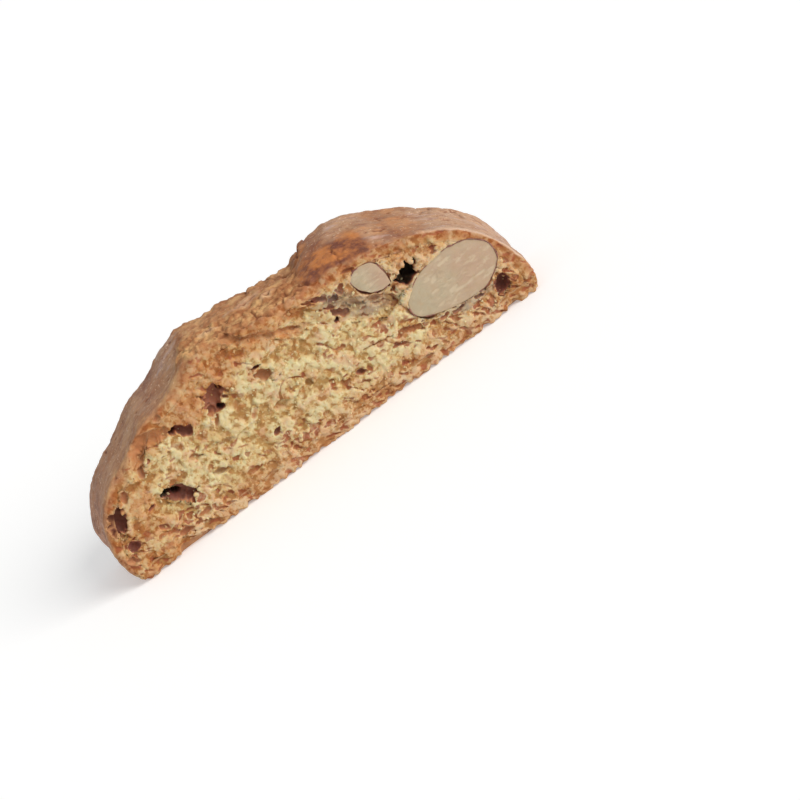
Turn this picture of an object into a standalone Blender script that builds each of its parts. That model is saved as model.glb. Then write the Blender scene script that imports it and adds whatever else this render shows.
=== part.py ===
"""Almond biscotti: one twice-baked slice, cut across a baked log of dough.

Frame: metres. +Z points up to the domed crust, -Y out of the cut face that shows the
almonds, and +X along the slice. The origin is the middle of the flat baked base.
"""

import math

import bmesh
import bpy
from mathutils import Vector, noise

MM = 0.001

# Driving dimensions
LENGTH = 100 * MM
HEIGHT = 32.5 * MM
THICKNESS = 21 * MM
CUT_Y = -THICKNESS / 2  # plane of the cut face that shows the almonds
SEAT_GAP = 0.3 * MM  # between an almond and the hollow that it sits in
BASE_TRIM = 1.5 * MM  # dough below the base plane, sliced off to leave it flat

# The slice's outline from the left corner of the base over the dome to the right corner,
# as shares of half the length and of the height.
OUTLINE = (
    (-0.95, 0.00),
    (-1.00, 0.16),
    (-0.99, 0.34),
    (-0.90, 0.55),
    (-0.65, 0.78),
    (-0.42, 0.89),
    (-0.25, 1.00),
    (-0.06, 0.95),
    (0.12, 0.90),
    (0.34, 0.92),
    (0.60, 0.84),
    (0.80, 0.69),
    (0.95, 0.42),
    (1.00, 0.20),
    (0.98, 0.00),
)

# Rises of the crust: centre x, y, z; half sizes along x, y, z; tilt about y in degrees; all in mm
CRUST_RISES = (
    (27.0, 2.0, 26.0, 17.0, 8.8, 4.6, 14.0),  # the smooth blister over the right half
    (-14.0, 1.0, 29.0, 7.5, 9.6, 3.6, -8.0),  # the ridge left of the middle
    (-36.0, 0.0, 19.5, 9.0, 9.8, 3.4, -32.0),  # the smooth left shoulder
)
CRUST_CRACK = (8.5, 4.0, 31.5, 2.0, 9.0, 3.4, 0.0)  # the split before the blister

# Holes in the cut face: centre x and z; half width, half height and depth; tilt; mm and degrees
HOLES = (
    (-31.5, 10.8, 3.6, 1.6, 3.0, 37.0),
    (-45.0, 13.6, 1.7, 2.4, 2.6, 0.0),
    (-32.0, 21.4, 1.4, 2.3, 1.8, 35.0),
    (-23.8, 20.6, 2.1, 1.1, 2.2, 37.0),
    (-15.4, 22.8, 1.5, 2.4, 2.6, 37.0),
    (-4.7, 20.2, 2.2, 2.1, 2.0, 0.0),
    (29.3, 19.2, 1.9, 1.3, 5.0, 25.0),
    (43.4, 5.4, 1.6, 1.5, 3.0, 0.0),
)

# Almonds: centre x and z; half length, half width and half depth; tilt; all in mm and degrees
ALMONDS = {
    "almond_large": (35.4, 12.9, 10.2, 5.7, 6.6, 2.0),
    "almond_small": (23.0, 22.4, 3.6, 3.0, 7.0, 38.0),
}
ALMOND_INSET = 1.0 * MM  # how far behind the cut an almond's middle lies
ALMOND_TAPER = 0.22  # how much slimmer its pointed end is

REMESH_VOXEL = 1.5 * MM
DOUGH_SHARE = 0.62  # share of the remeshed dough's triangles that is kept


def clear_scene():
    for old in list(bpy.data.objects):
        bpy.data.objects.remove(old)


def new_collection(name):
    collection = bpy.data.collections.new(name)
    bpy.context.scene.collection.children.link(collection)
    return collection


def new_material(name, colour, roughness):
    material = bpy.data.materials.new(name)
    material.use_nodes = True
    shader = material.node_tree.nodes["Principled BSDF"]
    shader.inputs["Base Color"].default_value = (*colour, 1)
    shader.inputs["Roughness"].default_value = roughness
    shader.inputs["Metallic"].default_value = 0
    return material


def link_mesh(name, mesh, collection, parent):
    obj = bpy.data.objects.new(name, mesh)
    collection.objects.link(obj)
    obj.parent = parent
    return obj


def make_helper(obj):
    """Keep a cutter or a guide out of renders."""
    obj.hide_render = True
    obj.display_type = "WIRE"
    return obj


def slice_mesh():
    """The dome outline as a filled 2D curve, extruded to the slice's thickness and stood up."""
    curve = bpy.data.curves.new("slice_outline", "CURVE")
    curve.dimensions = "2D"
    curve.fill_mode = "BOTH"
    curve.extrude = THICKNESS / 2
    curve.resolution_u = 6
    spline = curve.splines.new("BEZIER")
    spline.bezier_points.add(len(OUTLINE) - 1)
    spline.use_cyclic_u = True
    for point, (along, up) in zip(spline.bezier_points, OUTLINE):
        corner = up == 0
        point.co = (along * LENGTH / 2, up * HEIGHT - (BASE_TRIM if corner else 0), 0)
        point.handle_left_type = point.handle_right_type = "VECTOR" if corner else "AUTO"
    outline = bpy.data.objects.new("slice_outline", curve)
    outline.rotation_euler = (math.pi / 2, 0, 0)
    bpy.context.scene.collection.objects.link(outline)
    bpy.context.view_layer.update()
    graph = bpy.context.evaluated_depsgraph_get()
    mesh = bpy.data.meshes.new_from_object(outline.evaluated_get(graph))
    mesh.transform(outline.matrix_world)
    bpy.data.objects.remove(outline)
    weld_and_face_out(mesh)
    return mesh


def weld_and_face_out(mesh):
    shape = bmesh.new()
    shape.from_mesh(mesh)
    bmesh.ops.remove_doubles(shape, verts=shape.verts, dist=0.01 * MM)
    bmesh.ops.recalc_face_normals(shape, faces=shape.faces)
    shape.to_mesh(mesh)
    shape.free()


def ball_mesh(name, half_sizes, roughen=0.0):
    """An ellipsoid whose radius wanders by the given share, so that a hole looks torn."""
    mesh = bpy.data.meshes.new(name)
    shape = bmesh.new()
    bmesh.ops.create_icosphere(shape, subdivisions=2, radius=1)
    for vert in shape.verts:
        swell = 1 + roughen * noise.noise(vert.co * 1.7 + Vector(half_sizes) / MM)
        vert.co = Vector(half * share * swell for half, share in zip(half_sizes, vert.co))
    shape.to_mesh(mesh)
    shape.free()
    return mesh


def almond_mesh(name, half_sizes):
    """An egg along x: its pointed end is slimmer by ALMOND_TAPER than its blunt end."""
    mesh = bpy.data.meshes.new(name)
    shape = bmesh.new()
    bmesh.ops.create_uvsphere(shape, u_segments=24, v_segments=16, radius=1)
    for vert in shape.verts:
        slim = 1 + ALMOND_TAPER * vert.co.x
        vert.co = Vector((vert.co.x, vert.co.y * slim, vert.co.z * slim))
        vert.co = Vector(half * share for half, share in zip(half_sizes, vert.co))
    shape.to_mesh(mesh)
    shape.free()
    mesh.shade_smooth()
    return mesh


def box_mesh(name, low, high):
    mesh = bpy.data.meshes.new(name)
    shape = bmesh.new()
    bmesh.ops.create_cube(shape, size=1)
    for vert in shape.verts:
        vert.co = Vector(a + (share + 0.5) * (b - a) for a, b, share in zip(low, high, vert.co))
    shape.to_mesh(mesh)
    shape.free()
    return mesh


def add_boolean(obj, operation, operand):
    """Add a Boolean whose operand is one object or every object of a collection."""
    modifier = obj.modifiers.new(f"{operation.title()} {operand.name}", "BOOLEAN")
    modifier.operation = operation
    modifier.solver = "EXACT"
    if isinstance(operand, bpy.types.Collection):
        modifier.operand_type = "COLLECTION"
        modifier.collection = operand
    else:
        modifier.object = operand


def add_relief(obj, name, grain, depth):
    """Push the surface in and out by a cloud noise of the given grain."""
    texture = bpy.data.textures.new(name, "CLOUDS")
    texture.noise_scale = grain
    texture.noise_depth = 1
    modifier = obj.modifiers.new(name, "DISPLACE")
    modifier.texture = texture
    modifier.texture_coords = "LOCAL"
    modifier.mid_level = 0.5
    modifier.strength = depth


def crust_ball(name, row, collection, parent):
    x, y, z, half_x, half_y, half_z, tilt = row
    mesh = ball_mesh(name, (half_x * MM, half_y * MM, half_z * MM))
    ball = make_helper(link_mesh(name, mesh, collection, parent))
    ball.location = (x * MM, y * MM, z * MM)
    ball.rotation_euler = (0, math.radians(tilt), 0)
    return ball


def hole_cutters(collection, parent):
    for number, (x, z, half_width, half_height, depth, tilt) in enumerate(HOLES, 1):
        half_sizes = (half_width * MM, depth * MM, half_height * MM)
        name = f"hole_{number}"
        mesh = ball_mesh(name, half_sizes, roughen=0.35)
        hole = make_helper(link_mesh(name, mesh, collection, parent))
        hole.location = (x * MM, CUT_Y, z * MM)
        hole.rotation_euler = (0, math.radians(tilt), 0)


def almond_shape(name, row, grow, collection, parent):
    """An almond set in the dough, or with grow the slightly larger hollow that it sits in."""
    x, z, half_length, half_width, half_depth, tilt = row
    half_sizes = (half_length * MM + grow, half_depth * MM + grow, half_width * MM + grow)
    almond = link_mesh(name, almond_mesh(name, half_sizes), collection, parent)
    almond.location = (x * MM, CUT_Y + ALMOND_INSET, z * MM)
    almond.rotation_euler = (0, math.radians(tilt), 0)
    return almond


def make_dough(parts, cutters, parent):
    dough = link_mesh("dough", slice_mesh(), parts, parent)
    dough.data.materials.append(new_material("baked_dough", (0.56, 0.32, 0.16), 0.75))

    for number, row in enumerate(CRUST_RISES, 1):
        add_boolean(dough, "UNION", crust_ball(f"crust_rise_{number}", row, cutters, parent))
    add_boolean(dough, "DIFFERENCE", crust_ball("crust_crack", CRUST_CRACK, cutters, parent))

    remesh = dough.modifiers.new("Even the faces", "REMESH")
    remesh.mode = "VOXEL"
    remesh.voxel_size = REMESH_VOXEL
    soften = dough.modifiers.new("Soften the seams", "SMOOTH")
    soften.factor = 0.5
    soften.iterations = 2
    add_relief(dough, "swells", 9 * MM, 1.3 * MM)
    add_relief(dough, "grain", 3 * MM, 0.6 * MM)
    thin = dough.modifiers.new("Thin the faces", "DECIMATE")
    thin.ratio = DOUGH_SHARE

    reach = 2 * LENGTH
    slab = box_mesh("base_plane", (-reach, -reach, -reach), (reach, reach, 0))
    add_boolean(dough, "DIFFERENCE", make_helper(link_mesh("base_plane", slab, cutters, parent)))
    holes = bpy.data.collections.new("holes")
    cutters.children.link(holes)
    hole_cutters(holes, parent)
    add_boolean(dough, "DIFFERENCE", holes)
    for name, row in ALMONDS.items():
        seat = almond_shape(f"seat_of_{name}", row, SEAT_GAP, cutters, parent)
        add_boolean(dough, "DIFFERENCE", make_helper(seat))
    return dough


def make_almonds(parts, cutters, parent):
    """Both almonds, sliced flush with the cut face by the same knife stroke as the dough."""
    flesh = new_material("almond_flesh", (0.54, 0.41, 0.28), 0.5)
    reach = 2 * LENGTH
    block = box_mesh("knife_stroke", (-reach, -reach, -reach), (reach, CUT_Y, reach))
    knife = make_helper(link_mesh("knife_stroke", block, cutters, parent))
    for name, row in ALMONDS.items():
        almond = almond_shape(name, row, 0, parts, parent)
        almond.data.materials.append(flesh)
        add_boolean(almond, "DIFFERENCE", knife)


def centre_over_origin(obj, parent):
    """Shift the whole model so that the middle of obj's box stands over the origin."""
    bpy.context.view_layer.update()
    graph = bpy.context.evaluated_depsgraph_get()
    corners = [Vector(corner) for corner in obj.evaluated_get(graph).bound_box]
    for axis in (0, 1):
        values = [corner[axis] for corner in corners]
        parent.location[axis] = -(min(values) + max(values)) / 2


def main():
    clear_scene()
    parts = new_collection("biscotti")
    cutters = new_collection("biscotti_cutters")
    origin = bpy.data.objects.new("biscotti_origin", None)
    parts.objects.link(origin)
    dough = make_dough(parts, cutters, origin)
    make_almonds(parts, cutters, origin)
    centre_over_origin(dough, origin)


if __name__ == "__main__":
    main()
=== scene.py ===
"""The looks of one almond biscotti: open crumb, baked crust, sliced almonds and loose crumbs.

The slice stands on its baked base: +Z is up to the domed crust, -Y out of the cut face
that shows the almonds, +X along the slice. Shapes are worked out in millimetres and
become metres when their mesh is made.
"""

import math

import bpy
import numpy as np
from bpy.props import FloatProperty, FloatVectorProperty, IntProperty, PointerProperty
from mathutils import Matrix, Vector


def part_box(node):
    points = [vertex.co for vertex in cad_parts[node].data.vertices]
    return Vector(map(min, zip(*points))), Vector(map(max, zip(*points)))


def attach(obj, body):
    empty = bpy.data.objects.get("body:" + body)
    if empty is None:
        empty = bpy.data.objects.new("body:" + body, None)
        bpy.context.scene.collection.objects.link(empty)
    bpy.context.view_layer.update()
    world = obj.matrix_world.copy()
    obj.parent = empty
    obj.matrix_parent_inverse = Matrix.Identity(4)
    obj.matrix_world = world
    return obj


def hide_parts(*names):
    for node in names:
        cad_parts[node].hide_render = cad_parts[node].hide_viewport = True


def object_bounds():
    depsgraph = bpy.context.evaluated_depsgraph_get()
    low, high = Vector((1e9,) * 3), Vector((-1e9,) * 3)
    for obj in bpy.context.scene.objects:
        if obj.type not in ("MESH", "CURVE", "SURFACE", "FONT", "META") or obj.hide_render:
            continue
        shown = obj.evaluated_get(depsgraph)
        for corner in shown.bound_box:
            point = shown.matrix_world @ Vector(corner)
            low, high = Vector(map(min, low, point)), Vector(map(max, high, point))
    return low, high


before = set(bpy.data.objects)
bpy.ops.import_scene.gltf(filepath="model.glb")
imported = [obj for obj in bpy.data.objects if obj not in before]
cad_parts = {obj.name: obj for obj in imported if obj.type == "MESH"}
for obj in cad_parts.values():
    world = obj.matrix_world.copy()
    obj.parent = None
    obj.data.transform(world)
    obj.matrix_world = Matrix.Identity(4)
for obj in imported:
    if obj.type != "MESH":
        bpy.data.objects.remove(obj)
CAD_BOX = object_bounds()

bl_info = {
    "name": "Almond Biscotti",
    "version": (1, 0, 0),
    "blender": (4, 5, 0),
    "location": "View3D > Sidebar > Biscotti",
    "description": "Builds the crumb, crust, almonds and loose crumbs of one biscotti slice",
    "category": "Add Mesh",
}

MM = 0.001
DEGREE = math.pi / 180
BODY = "root"
FRONT, BACK = -1, 1  # the sign of y on each cut face
WHITE = (1.0, 1.0, 1.0, 1.0)
# The finest tufts drive both the crumb's bump and the painted shade in their dips
TUFT = (1.0, 3.0, 0.58)  # the crumb's finest tufts: size in mm, detail and roughness
CRUST_WALL = 2.8  # how deep under the outline the crust's closed band reaches, in mm
LID_PLACE = 1.0  # how far from the slice's middle each crumb slab ends, in mm
CRUMB_FLOOR = 0.35  # how far over the table the crumb slabs stay, in mm
SEAT_DEPTH = 2.4  # how deep the hollows round the almonds are, in mm
KERNEL_SPOKES = 180  # places round an almond's rim
HEEL = -37.2  # where the base's left foot ends, in mm
FRONT_ZONE = (-7.0, -9.0)  # y in mm between which the crust takes on the front face's holes
OPEN_GROUND = 0.4  # loose crumbs lie only where the face is less hollow than this
FLOOR_RADIUS = 6.0  # in metres
CRUMB_LEAN = -34  # the way that the crumb's large shelves run, in degrees

# The slice's outline from the left corner of the base over the dome to the right corner,
# as shares of half the length and of the height
OUTLINE = (
    (-0.95, 0.0), (-0.98, 0.09), (-1.0, 0.24), (-0.97, 0.38), (-0.94, 0.48), (-0.87, 0.6),
    (-0.76, 0.68), (-0.67, 0.76), (-0.6, 0.82), (-0.46, 0.87), (-0.39, 0.91), (-0.32, 0.965),
    (-0.26, 1.0), (-0.19, 0.975), (-0.11, 0.965), (0.03, 0.935), (0.18, 0.905), (0.35, 0.89),
    (0.51, 0.85), (0.65, 0.79), (0.74, 0.73), (0.84, 0.63), (0.93, 0.47), (0.97, 0.34), (1.0, 0.16),
    (0.98, 0.0),
)

# Holes in the front face, in mm and degrees: centre x and z, half length, half width,
# depth, tilt of the long axis, raggedness of the rim, darkness of the painted shade on the wall
FRONT_HOLES = (
    (-31.3, 10.6, 3.5, 1.6, 2.5, -37, 0.45, 0.74), (-32.6, 12.0, 2.2, 0.8, 3.4, -37, 0.45, 0.95),
    (-34.2, 12.6, 0.9, 0.6, 2.4, -10, 0.3, 1.0), (-45.0, 13.7, 3.3, 2.1, 2.6, 53, 0.35, 0.84),
    (-38.1, 7.1, 1.3, 0.7, 1.0, -37, 0.35, 0.45), (-45.4, 7.4, 1.0, 0.9, 1.3, 0, 0.4, 0.8),
    (-47.2, 5.4, 1.3, 0.7, 0.9, -37, 0.3, 0.4), (-40.8, 17.0, 1.5, 0.8, 1.0, 70, 0.35, 0.35),
    (-37.9, 12.0, 0.9, 0.4, 1.2, 10, 0.3, 0.65), (-35.5, 3.7, 1.9, 0.8, 1.1, 0, 0.35, 0.4),
    (-35.2, 18.9, 1.4, 0.8, 1.0, 60, 0.3, 0.35), (-23.8, 21.0, 2.5, 1.3, 2.2, -37, 0.35, 0.72),
    (-25.6, 21.9, 0.9, 0.7, 2.4, -20, 0.25, 0.8), (-15.2, 22.3, 3.1, 2.5, 2.4, 58, 0.4, 0.62),
    (-12.9, 23.4, 0.7, 0.6, 2.4, 53, 0.3, 0.9), (-15.0, 19.8, 0.7, 0.5, 2.2, -20, 0.3, 0.85),
    (-17.4, 18.2, 1.6, 0.6, 1.1, 50, 0.3, 0.25), (-4.6, 19.9, 2.4, 1.7, 1.7, -38, 0.5, 0.3),
    (-4.9, 22.3, 1.1, 0.5, 1.8, -10, 0.3, 0.7), (29.6, 18.7, 2.6, 2.0, 6.0, 14, 0.3, 1.0),
    (32.3, 20.3, 1.1, 0.4, 4.0, 72, 0.2, 1.0), (43.4, 5.4, 1.8, 1.4, 2.8, 53, 0.3, 0.8),
    (10.9, 8.4, 1.1, 0.5, 1.4, -20, 0.3, 0.6), (-9.1, 9.2, 1.2, 0.7, 1.3, 20, 0.3, 0.65),
    (13.3, 19.6, 0.8, 0.5, 1.6, 0, 0.3, 0.85), (25.6, 17.6, 1.2, 0.7, 1.4, 20, 0.35, 0.4),
    (-22.6, 9.6, 2.2, 0.8, 1.2, -20, 0.3, 0.2), (-30.2, 4.6, 1.6, 0.6, 1.0, 5, 0.3, 0.3),
    (-11.0, 14.4, 1.4, 0.7, 1.0, 50, 0.3, 0.25), (34.0, 6.6, 1.6, 0.5, 1.1, 8, 0.35, 0.55),
    (38.4, 6.2, 1.3, 0.5, 1.0, -8, 0.35, 0.6), (30.6, 7.2, 1.2, 0.4, 1.0, 10, 0.35, 0.45),
    (-26.5, 26.0, 1.1, 0.5, 0.8, 20, 0.35, 0.35), (18.2, 20.3, 1.9, 0.9, 1.0, -30, 0.5, 0.2),
    (21.8, 18.7, 1.0, 0.7, 1.0, -20, 0.4, 0.3), (15.8, 20.9, 1.3, 0.6, 0.9, -35, 0.45, 0.2),
    (14.3, 20.4, 2.2, 1.0, 1.4, -38, 0.45, 0.58), (-17.2, 20.4, 1.5, 0.9, 1.2, 50, 0.4, 0.4),
    (17.2, 24.6, 1.3, 1.0, 1.2, 20, 0.45, 0.5), (20.4, 8.2, 1.6, 0.6, 1.0, -20, 0.4, 0.5),
    (15.4, 23.8, 1.2, 0.8, 1.4, 0, 0.4, 0.8), (12.6, 25.4, 1.5, 0.8, 1.2, -30, 0.4, 0.65),
    (13.4, 22.6, 1.3, 0.7, 1.1, -30, 0.4, 0.6), (20.6, 26.6, 1.5, 0.5, 1.2, -14, 0.35, 0.45),
    (10.6, 26.2, 1.4, 0.5, 1.2, -30, 0.35, 0.45),
)

# Grooves and folds in the front face: the path, then how far it reaches to the left and to
# the right of its run, its depth, and the darkness of the painted shade on its wall
FRONT_GROOVES = (
    (((-34.4, 20.2), (-33.4, 22.6), (-31.4, 23.6), (-29.2, 23.1), (-27.2, 22.3)), 1.9, 0.9, 1.2, 0.26),
    (((-31.5, 20.6), (-29.0, 20.6)), 2.2, 2.2, -0.5, 0.0),
    (((-3.8, 31.0), (-0.6, 29.4), (2.0, 27.8)), 2.2, 2.2, -0.8, 0.0),
    (((-6.4, 31.0), (-4.4, 28.8), (-0.3, 27.2), (3.6, 24.5), (6.0, 23.1)), 0.6, 1.3, 0.9, 0.22),
    (((-16.0, 26.6), (-12.0, 27.6), (-8.6, 29.4)), 0.5, 1.6, 0.6, 0.08),
    (((6.0, 23.1), (9.2, 22.0), (11.6, 19.7), (13.9, 19.4), (17.6, 17.0), (22.0, 14.6), (25.2, 15.4)),
     4.4, 0.4, 1.7, 0.08),
    (((20.9, 9.8), (23.0, 9.5), (25.4, 8.7)), 0.5, 0.5, 0.8, 0.30),
    (((14.2, 11.7), (17.0, 11.3), (19.8, 10.6)), 0.5, 0.5, 0.8, 0.35),
    (((8.6, 16.9), (9.2, 15.3), (11.0, 15.0)), 0.6, 0.5, 0.7, 0.30),
    (((-20.0, 14.6), (-16.2, 13.2), (-12.6, 13.6)), 0.3, 1.3, 0.8, 0.1),
    (((-6.0, 13.2), (-2.0, 12.6), (1.8, 13.6)), 0.3, 1.2, 0.7, 0.1),
    (((-26.0, 15.6), (-23.4, 14.2)), 0.5, 0.5, 0.9, 0.25),
    (((28.4, 10.4), (26.0, 12.4), (25.0, 14.4)), 1.2, 0.4, 0.8, 0.2),
)

BACK_HOLES = 40
BACK_HOLE_SEED = 5

# Where the torn stretch of crust begins, and where the blister ends it: x in mm
TORN_FROM = (-18.5, -13.0)
BLISTER_FROM = (10.2, 12.0)

# Tears across the top of the crust: paths of x and y in mm, and half the gap's width
CRUST_TEARS = (
    (((-2.9, -0.6), (0.2, 0.2), (2.6, 1.9)), 0.55),
    (((-9.5, -3.5), (-7.2, -4.6)), 0.35),
    (((4.4, -3.0), (6.0, -1.4)), 0.35),
)

# Patches of the front face where the crumb's colour takes a grey painted shade, in the recesses
# round the almonds, and pale clumps that stand out of both faces: x, z, both reaches in mm, and
# tilt in degrees
SHADED_PATCHES = ((19.5, 18.6, 7.5, 2.8, -28), (36.5, 6.6, 7.0, 1.3, -4), (15.6, 23.2, 4.6, 2.6, -30))
PALE_CLUMPS = (
    (8.0, 12.0, 5.0, 3.6, -30), (17.5, 12.6, 5.5, 2.6, -20), (-28.5, 16.2, 4.0, 2.4, 20),
    (-9.5, 8.5, 3.6, 2.2, -20), (2.5, 16.8, 4.5, 2.4, -35), (26.0, 8.2, 2.6, 1.8, 0),
    (-28.0, 8.2, 3.0, 1.8, 0),
)

# Rosy patches of the front face, round the almonds, as above
ROSY_PATCHES = (
    (29.5, 18.6, 4.6, 5.6, -40), (22.6, 22.6, 6.6, 6.2, 0), (33.6, 19.6, 6.6, 3.4, 35),
    (41.0, 9.4, 6.4, 3.6, -50),
)

# How high the blister stands, at the back at its full: x, then the rise there, in mm
BLISTER_RISE = ((10.2, 11.4, 14.0, 20.0, 26.0, 32.0, 38.0), (0.0, 0.9, 2.5, 3.3, 2.3, 0.9, 0.0))

# The almonds' cut outlines, as shares of half their length and height from their middle
KERNEL_OUTLINES = {
    "almond_large": (
        (-0.90, 0.27), (-0.59, 0.65), (-0.25, 0.87), (0.26, 0.97), (0.66, 0.80), (0.87, 0.55),
        (1.00, 0.26), (1.03, -0.06), (1.00, -0.36), (0.88, -0.61), (0.69, -0.83), (0.46, -1.00),
        (0.10, -0.98), (-0.23, -0.90), (-0.49, -0.77), (-0.70, -0.63), (-0.90, -0.45), (-0.98, -0.12),
    ),
    "almond_small": (
        (-1.09, 0.84), (-0.65, 1.14), (-0.17, 1.18), (0.45, 1.00), (0.73, 0.57), (0.81, -0.12),
        (0.76, -0.82), (0.19, -0.87), (-0.50, -0.60), (-0.97, 0.01), (-1.13, 0.54),
    ),
}


# ---- numbers and noise

GRADIENTS = np.array(
    [(a, b, 0) for a in (-1, 1) for b in (-1, 1)]
    + [(a, 0, b) for a in (-1, 1) for b in (-1, 1)]
    + [(0, a, b) for a in (-1, 1) for b in (-1, 1)],
    float,
)


def unit(value):
    """A value held between 0 and 1."""
    return np.clip(value, 0, 1)


def step(low, high, value):
    """The smooth step 3t^2 - 2t^3, where t runs from 0 at low to 1 at high and stays there."""
    t = unit((value - low) / (high - low))
    return t * t * (3 - 2 * t)


def bell(value, middle, reach):
    """The bell curve e^-t^2, where t is the distance from the middle in reaches."""
    return np.exp(-(((value - middle) / reach) ** 2))


def hashed(cell, seed):
    """One even random number from 0 to 1 for each whole-numbered lattice point."""
    i, j, k = (cell[..., axis].astype(np.int64).astype(np.uint32) for axis in range(3))
    mixed = i * np.uint32(0x8DA6B343) ^ j * np.uint32(0xD8163841) ^ k * np.uint32(0xCB1AB31F)
    mixed = mixed + np.uint32(seed * 7919 + 1013)
    mixed = (mixed ^ (mixed >> np.uint32(15))) * np.uint32(0x2C1B3C6D)
    mixed = (mixed ^ (mixed >> np.uint32(12))) * np.uint32(0x297A2D39)
    return (mixed ^ (mixed >> np.uint32(15))) / 2.0**32


def noise(points, size, seed):
    """Gradient noise of about -1 to 1: the slopes of a lattice's eight corners, blended by
    6t^5 - 15t^4 + 10t^3. size is the lattice's pitch in mm, one number or one per axis. Each
    pattern has a seed of its own, so that no two line up."""
    place = points / size
    cell = np.floor(place)
    t = place - cell
    fade = t**3 * (t * (t * 6 - 15) + 10)
    total = np.zeros(points.shape[:-1])
    for corner in np.ndindex(2, 2, 2):
        offset = np.array(corner)
        slope = GRADIENTS[(hashed(cell + offset, seed) * 12).astype(int)]
        weight = np.prod(np.where(offset, fade, 1 - fade), axis=-1)
        total += weight * ((t - offset) * slope).sum(-1)
    return total


def cells(points, size, seed):
    """The nearest and second nearest of one random point per lattice cell: both distances as
    shares of the pitch, a random number of the nearest point's own, and the height of a
    randomly tilted plane through it."""
    place = points / size
    cell = np.floor(place)
    first = np.full(points.shape[:-1], 9.0)
    second = first.copy()
    own = np.zeros_like(first)
    plane = np.zeros_like(first)
    for corner in np.ndindex(3, 3, 3):
        near = cell + np.array(corner) - 1
        away = place - near - np.stack([hashed(near, seed + n) for n in range(3)], -1)
        distance = np.sqrt((away**2).sum(-1))
        closer = distance < first
        tilt = np.stack([hashed(near, seed + 4 + n) for n in range(3)], -1) - 0.5
        second = np.where(closer, first, np.minimum(second, distance))
        own = np.where(closer, hashed(near, seed + 3), own)
        plane = np.where(closer, (tilt * away).sum(-1), plane)
        first = np.where(closer, distance, first)
    return first, second, own, plane


def wandered(points, size, reach, seed):
    """Points pushed about by noise, so that what is laid out on them looks torn."""
    return points + reach * np.stack([noise(points, size, seed + n) for n in range(3)], -1)


def turned(points, tilt):
    """Points turned in the plane of the cut face, so that noise on them runs along tilt."""
    cos, sin = math.cos(tilt * DEGREE), math.sin(tilt * DEGREE)
    x, y, z = np.moveaxis(points, -1, 0)
    return np.stack([x * cos + z * sin, y, z * cos - x * sin], -1)


def averaged(values, reach, axis=0):
    """A closed row's values averaged over their neighbours up to reach steps away."""
    return sum(np.roll(values, n, axis) for n in range(-reach, reach + 1)) / (2 * reach + 1)


def stood(flat, y):
    """Points of the cut face's plane, x and z, set at places y across the slice."""
    return np.stack([flat[..., 0], np.broadcast_to(y, flat.shape[:-1]), flat[..., 1]], -1)


def oval_share(x, z, long_reach, short_reach, tilt):
    """How far out points lie in a tilted oval round 0, 0: 0 at its middle, 1 at its rim."""
    cos, sin = math.cos(tilt * DEGREE), math.sin(tilt * DEGREE)
    return np.hypot((x * cos + z * sin) / long_reach, (z * cos - x * sin) / short_reach)


# ---- the slice's outline


def smooth_curve(points, steps):
    """Catmull-Rom curve: between two points a cubic whose end slopes run parallel to the
    line joining the neighbours on either side."""
    points = np.array(points, float)
    padded = np.vstack([2 * points[0] - points[1], points, 2 * points[-1] - points[-2]])
    a, b, c, d = (p[:, None] for p in (padded[:-3], padded[1:-2], padded[2:-1], padded[3:]))
    t = (np.arange(steps) / steps)[None, :, None]
    curve = b + t * (c - a) / 2 + t**2 * (2 * a - 5 * b + 4 * c - d) / 2
    curve = curve + t**3 * (3 * b - a - 3 * c + d) / 2
    return np.vstack([curve.reshape(-1, 2), points[-1]])


def along(curve, places):
    """Points at the given shares, 0 to 1, of a curve's length."""
    lengths = np.concatenate([[0], np.cumsum(np.hypot(*np.diff(curve, axis=0).T))])
    places = np.asarray(places) * lengths[-1]
    return np.stack([np.interp(places, lengths, curve[:, axis]) for axis in (0, 1)], -1)


class Slice:
    """The plain slice's sizes in mm, taken from the CAD model, and its outline."""

    relief_room = 0.4  # how far the CAD crust's relief stands out of the plain slice
    samples = 4000  # points of the finished outline
    corner_steps = 26  # how many of them, to each side, round off a corner

    def __init__(self):
        low, high = (np.array(corner) / MM for corner in CAD_BOX)
        self.length = high[0] - low[0] - self.relief_room
        self.height = high[2] - low[2] - self.relief_room
        self.half = abs(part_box("almond_large")[0].y / MM)
        scale = np.array([self.length / 2, self.height])
        dome = smooth_curve(np.array(OUTLINE) * scale, 24)
        base = np.linspace(dome[-1], dome[0], 200)[1:]
        closed = along(np.vstack([dome, base]), np.linspace(0, 1, self.samples + 1))[:-1]
        loop = averaged(closed, self.corner_steps)
        self.curve = np.vstack([loop, loop[:1]])
        self.around = np.hypot(*np.diff(self.curve, axis=0).T).sum()
        self.dome_share = 1 - np.hypot(*(dome[-1] - dome[0])) / self.around

    def at(self, places):
        """Outline points at shares of the way round, from the base's left corner over the dome."""
        return along(self.curve, np.asarray(places) % 1.0)

    def outward(self, places):
        """Unit normals that point out of the slice: the outline's direction turned left."""
        nudge = 0.4 / self.around
        way = self.at(places + nudge) - self.at(places - nudge)
        way /= np.linalg.norm(way, axis=-1, keepdims=True)
        return np.stack([-way[..., 1], way[..., 0]], -1)

    def edge_distance(self, x, z):
        """Distance in mm from points of a cut face to the outline, worked out in blocks."""
        rim = self.curve[::8]
        flat = np.stack([x.ravel(), z.ravel()], -1)
        nearest = [
            np.sqrt(((block[:, None] - rim[None]) ** 2).sum(-1).min(1))
            for block in np.array_split(flat, 24)
        ]
        return np.concatenate(nearest).reshape(x.shape)


SLICE = Slice()


# ---- relief


def flakes(points, size, seed):
    """Broken flakes in mm of height: planes of random tilt that meet in creases."""
    first, second, own, plane = cells(points, size, seed)
    whole = step(-0.02, 0.30, second - first)
    return size * ((0.85 * plane + 0.20 * (own - 0.3)) * whole - 0.02)


def ragged(points, size, layers, seed):
    """Layers of noise, each half as large and half as high as the one before."""
    return sum(noise(points, size / 2**n, seed + n) / 2**n for n in range(layers))


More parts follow.
